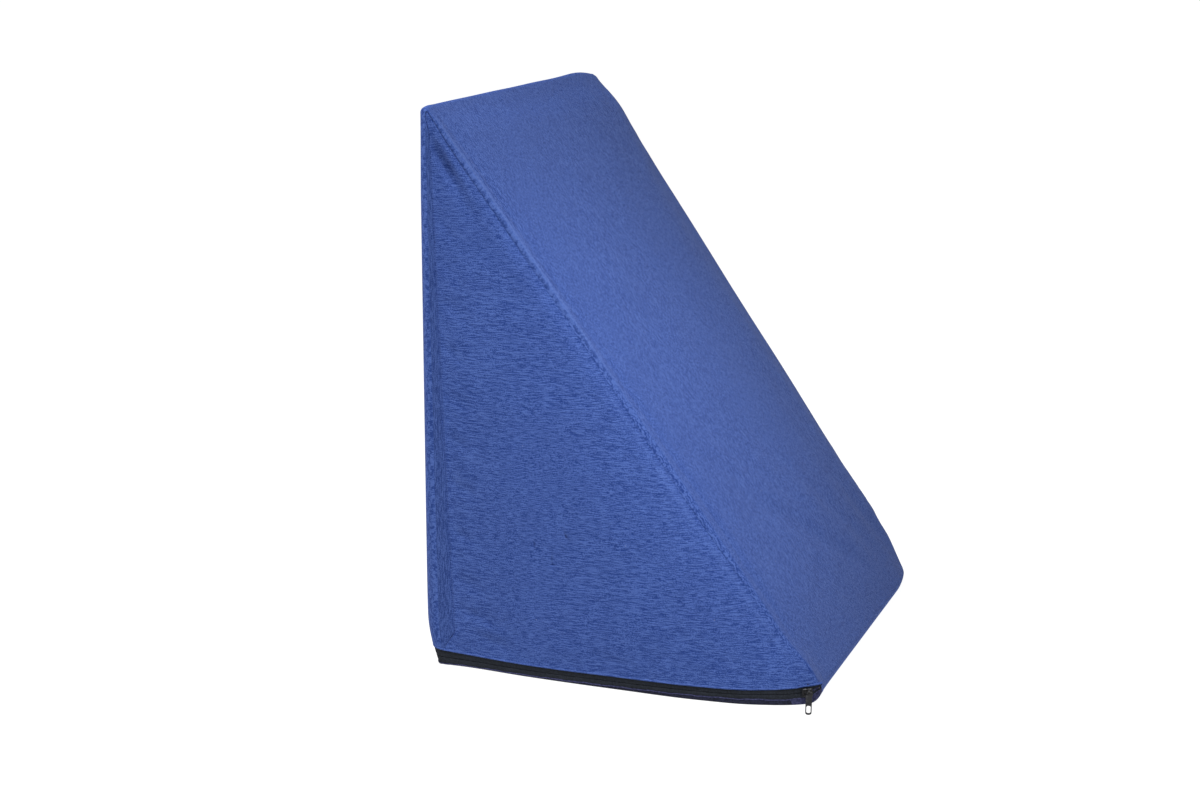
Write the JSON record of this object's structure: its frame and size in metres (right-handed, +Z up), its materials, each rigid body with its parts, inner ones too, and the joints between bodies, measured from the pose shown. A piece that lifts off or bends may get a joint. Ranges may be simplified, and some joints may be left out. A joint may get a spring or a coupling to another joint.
{
  "type": "wedge cushion",
  "caption": "Triangular backrest pillow: a firm wedge in a fitted blue cover, with an upright back, a sloped face and a black zip along one end.",
  "frame": {"origin": "middle of the base, on the surface the cushion stands on", "axes": "+Z up from the base, the upright back faces -X, the sloped face looks to +X, the end with the zip faces -Y"},
  "size_m": [0.365, 0.4874, 0.4987],
  "materials": {
    "cover_cloth": "woven slub cloth, matt",
    "zip_tape": "fine woven tape, matt",
    "zip_teeth": "satin",
    "zip_metal": "dark, worn satin"
  },
  "bodies": {
    "root": {"cushion": "cover_cloth", "zip_tape_upper": "zip_tape", "zip_tape_lower": "zip_tape", "zip_coil": "zip_teeth", "zip_slider": "zip_metal", "zip_pull": "zip_metal"}
  },
  "joints": []
}
